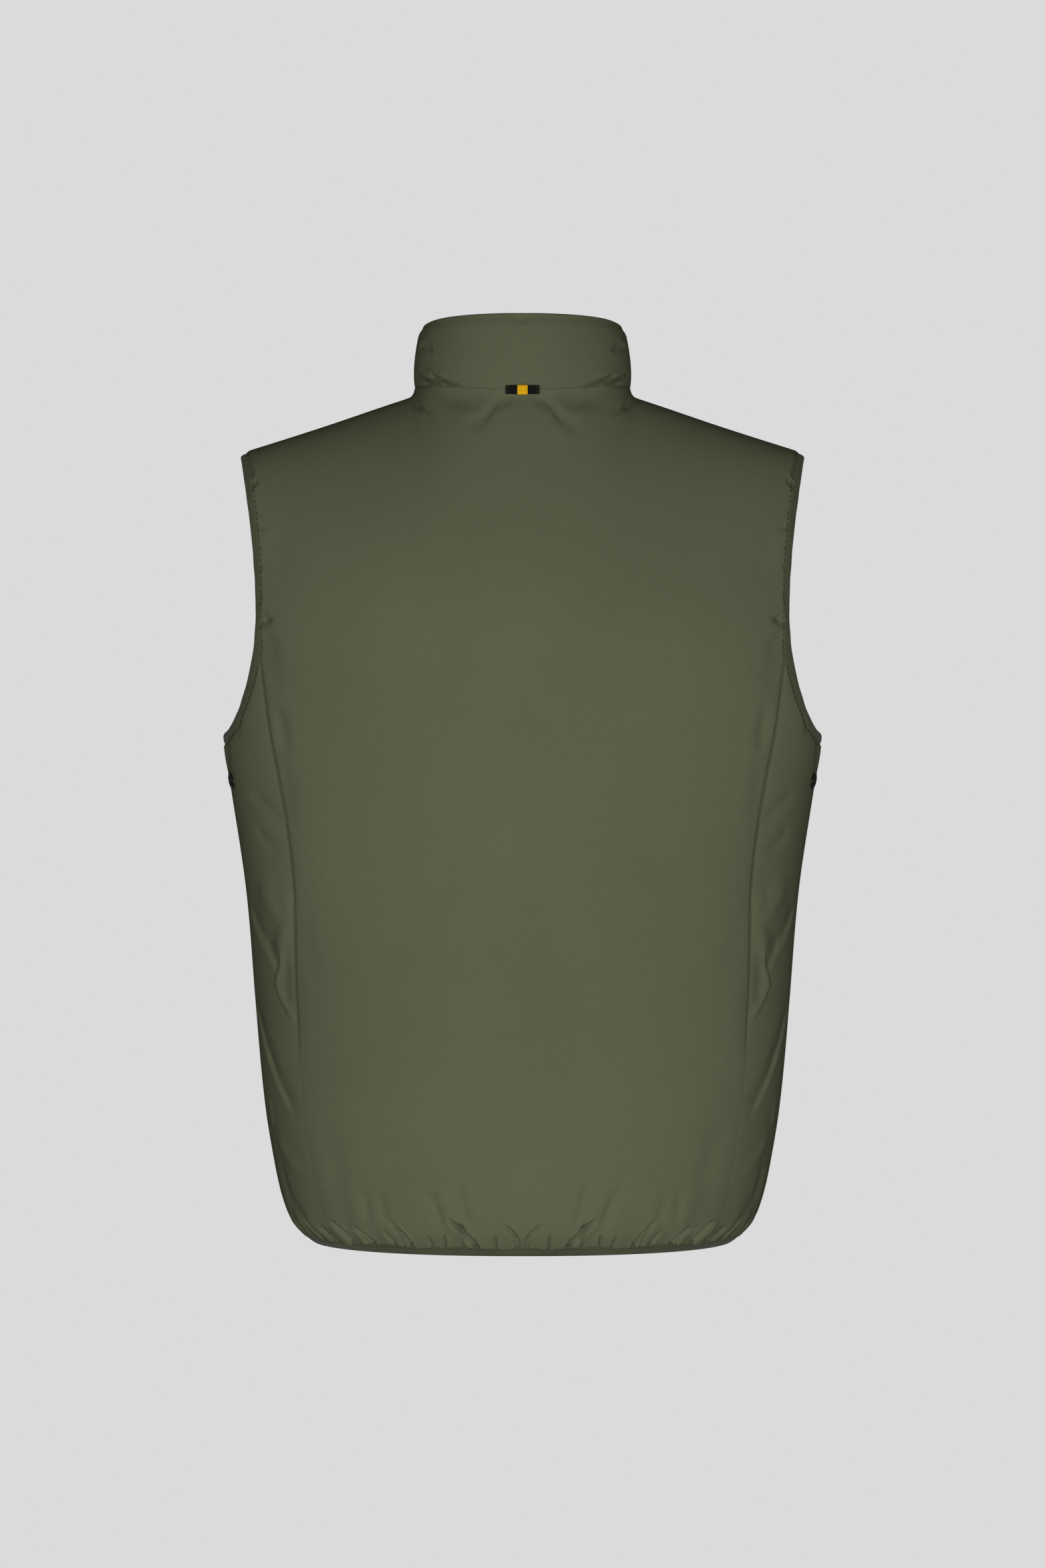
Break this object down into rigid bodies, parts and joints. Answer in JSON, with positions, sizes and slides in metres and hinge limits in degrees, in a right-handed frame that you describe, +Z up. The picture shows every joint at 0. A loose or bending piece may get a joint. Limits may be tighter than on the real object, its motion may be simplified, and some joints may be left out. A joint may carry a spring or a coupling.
{
  "type": "padded zip vest",
  "caption": "Padded stand-collar vest in its hollow worn form, with side panels, a front zip, bound armholes and a hem drawn in by a narrow elastic binding.",
  "frame": {"origin": "midway between the shoulders at the level of the side neck points, where the wearer holds it up", "axes": "+Z up, the wearer faces -Y, the wearer's left is +X"},
  "size_m": [0.4668, 0.2388, 0.715],
  "materials": {
    "shell_cloth": "olive green plain-weave nylon shell over thin padding, smooth and matt with a faint sheen",
    "elastic_binding": "olive ribbed elastic binding, matt",
    "zip_tape": "olive herringbone-woven zip tape, matt",
    "zip_chain": "olive moulded zip teeth",
    "zip_metal": "dark satin painted metal",
    "loop_tape": "black woven tape with one yellow band in the middle",
    "eyelet": "black painted metal, satin"
  },
  "bodies": {
    "vest": {"back_panel": "shell_cloth", "side_panel_left": "shell_cloth", "side_panel_right": "shell_cloth", "front_left": "shell_cloth", "front_right": "shell_cloth", "collar": "shell_cloth", "armhole_binding_left": "elastic_binding", "armhole_binding_right": "elastic_binding", "hem_binding": "elastic_binding", "neck_loop": "loop_tape", "zip_tape_left": "zip_tape", "zip_tape_right": "zip_tape", "zip_chain": "zip_chain", "zip_box": "zip_metal", "zip_slider": "zip_metal", "eyelet_left": "eyelet", "eyelet_right": "eyelet"},
    "pull": {"zip_pull": "zip_metal"}
  },
  "joints": [
    {"name": "zip_pull_swing", "type": "hinge", "parent": "vest", "child": "pull", "pos_m": [0, -0.08146, -0.02231], "axis": [-1, 0, 0], "range_deg": [0, 170]}
  ]
}
